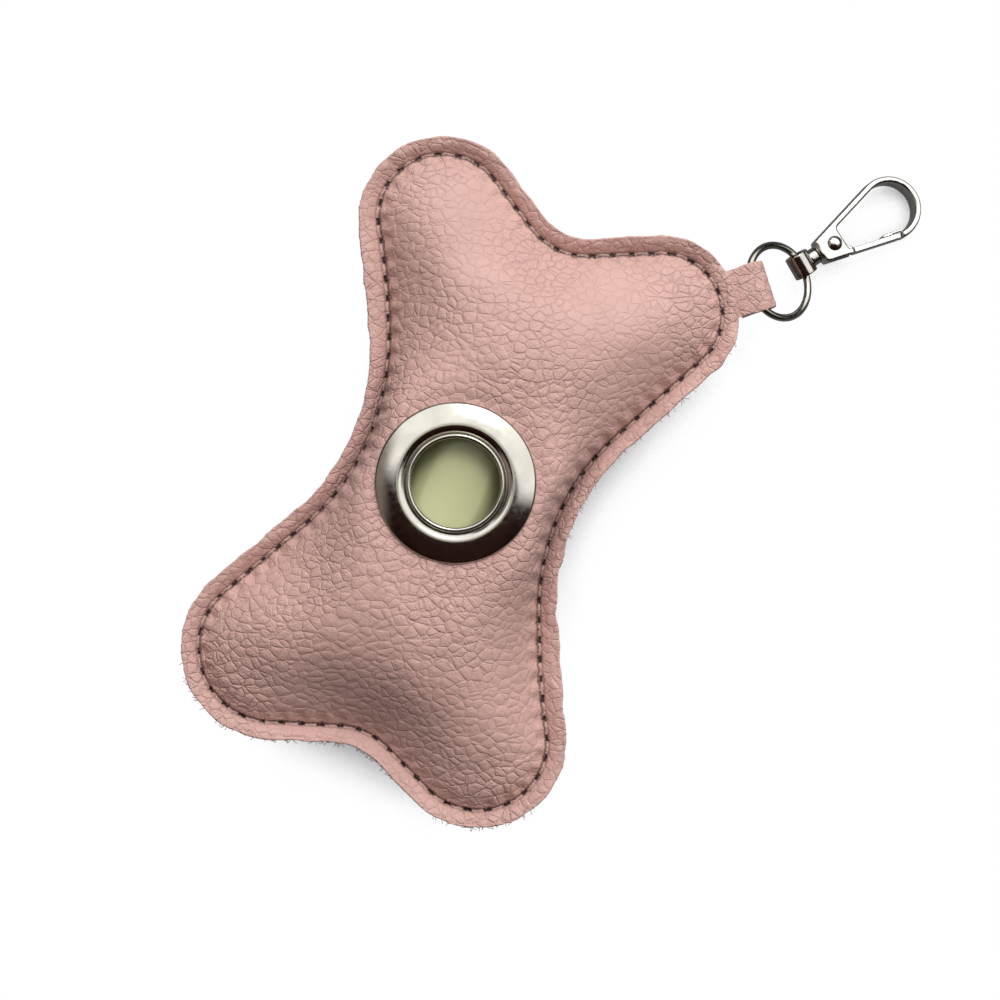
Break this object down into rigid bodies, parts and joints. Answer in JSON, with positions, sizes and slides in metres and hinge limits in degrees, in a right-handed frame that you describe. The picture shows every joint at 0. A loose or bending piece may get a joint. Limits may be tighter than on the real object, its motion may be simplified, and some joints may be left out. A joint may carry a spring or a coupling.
{
  "type": "dog waste bag dispenser",
  "caption": "Bone-shaped padded leather pouch that holds a roll of dog waste bags and lets them out through a round metal eyelet, with a back zip and a swivel clasp.",
  "frame": {"origin": "on the axis of the eyelet's bore, level with the leather under the eyelet's flange", "axes": "+Z out of the eyelet, +Y along the bone towards the lobe that carries the hanger, +X across the bone towards that lobe's side"},
  "size_m": [0.1117, 0.1646, 0.0342],
  "materials": {
    "pink_leather": "pebbled, semi-matt dusty pink coated leather",
    "thread": "twisted pale pink polyester thread",
    "dark_nickel": "polished dark nickel plate",
    "bright_nickel": "polished nickel plate on zinc and steel",
    "bag_film": "thin pale yellow-green bag film",
    "cardboard": "plain cardboard tube",
    "zip_tape": "woven polyester tape",
    "zip_teeth": "moulded nylon teeth"
  },
  "bodies": {
    "pouch": {"front_panel": "pink_leather", "back_panel": "pink_leather", "seam_stitching": "thread", "eyelet": "dark_nickel", "eyelet_washer": "dark_nickel", "zip_tape_left": "zip_tape", "zip_tape_right": "zip_tape", "zip_teeth_left": "zip_teeth", "zip_teeth_right": "zip_teeth", "zip_top_stops": "bright_nickel", "zip_bottom_stop": "bright_nickel", "zip_stitching": "thread", "hanger_tab": "pink_leather"},
    "roll": {"bag_roll": "bag_film", "roll_core": "cardboard"},
    "slider": {"zip_slider": "bright_nickel"},
    "pull": {"zip_pull": "bright_nickel"},
    "ring": {"hanger_ring": "bright_nickel"},
    "swivel": {"swivel_eye": "bright_nickel", "swivel_head": "bright_nickel"},
    "hook": {"hook_body": "bright_nickel", "gate_pin": "bright_nickel", "gate_spring": "bright_nickel"},
    "gate": {"gate": "bright_nickel"}
  },
  "joints": [
    {"name": "roll_spin", "type": "hinge", "parent": "pouch", "child": "roll", "pos_m": [0, 0, -0.0145], "axis": [0, 1, 0], "continuous": true},
    {"name": "zip_slide", "type": "slide", "parent": "pouch", "child": "slider", "axis": [0, -1, 0], "range_m": [0, 0.0664], "deforming": ["zip_teeth_left", "zip_teeth_right"]},
    {"name": "pull_swing", "type": "hinge", "parent": "slider", "child": "pull", "pos_m": [0, 0.0339, -0.03095], "axis": [1, 0, 0], "range_deg": [0, 170]},
    {"name": "ring_swing", "type": "hinge", "parent": "pouch", "child": "ring", "pos_m": [0.04136, 0.06235, -0.0175], "axis": [-0.6561, 0.7547, 0], "range_deg": [-90, 46]},
    {"name": "swivel_turn", "type": "hinge", "parent": "ring", "child": "swivel", "pos_m": [0.04973, 0.07254, -0.02627], "axis": [-0.8031, 0.5756, 0.1541], "range_deg": [-44, 96]},
    {"name": "clasp_swivel", "type": "hinge", "parent": "swivel", "child": "hook", "pos_m": [0.04973, 0.07254, -0.02627], "axis": [0.5601, 0.8175, -0.1344], "continuous": true},
    {"name": "gate_hinge", "type": "hinge", "parent": "hook", "child": "gate", "pos_m": [0.05433, 0.07925, -0.02738], "axis": [0.076, 0.1109, 0.9909], "range_deg": [0, 24], "stiffness_Nm_per_rad": 0.01, "springref_deg": -17.19, "deforming": ["gate_spring"]}
  ]
}
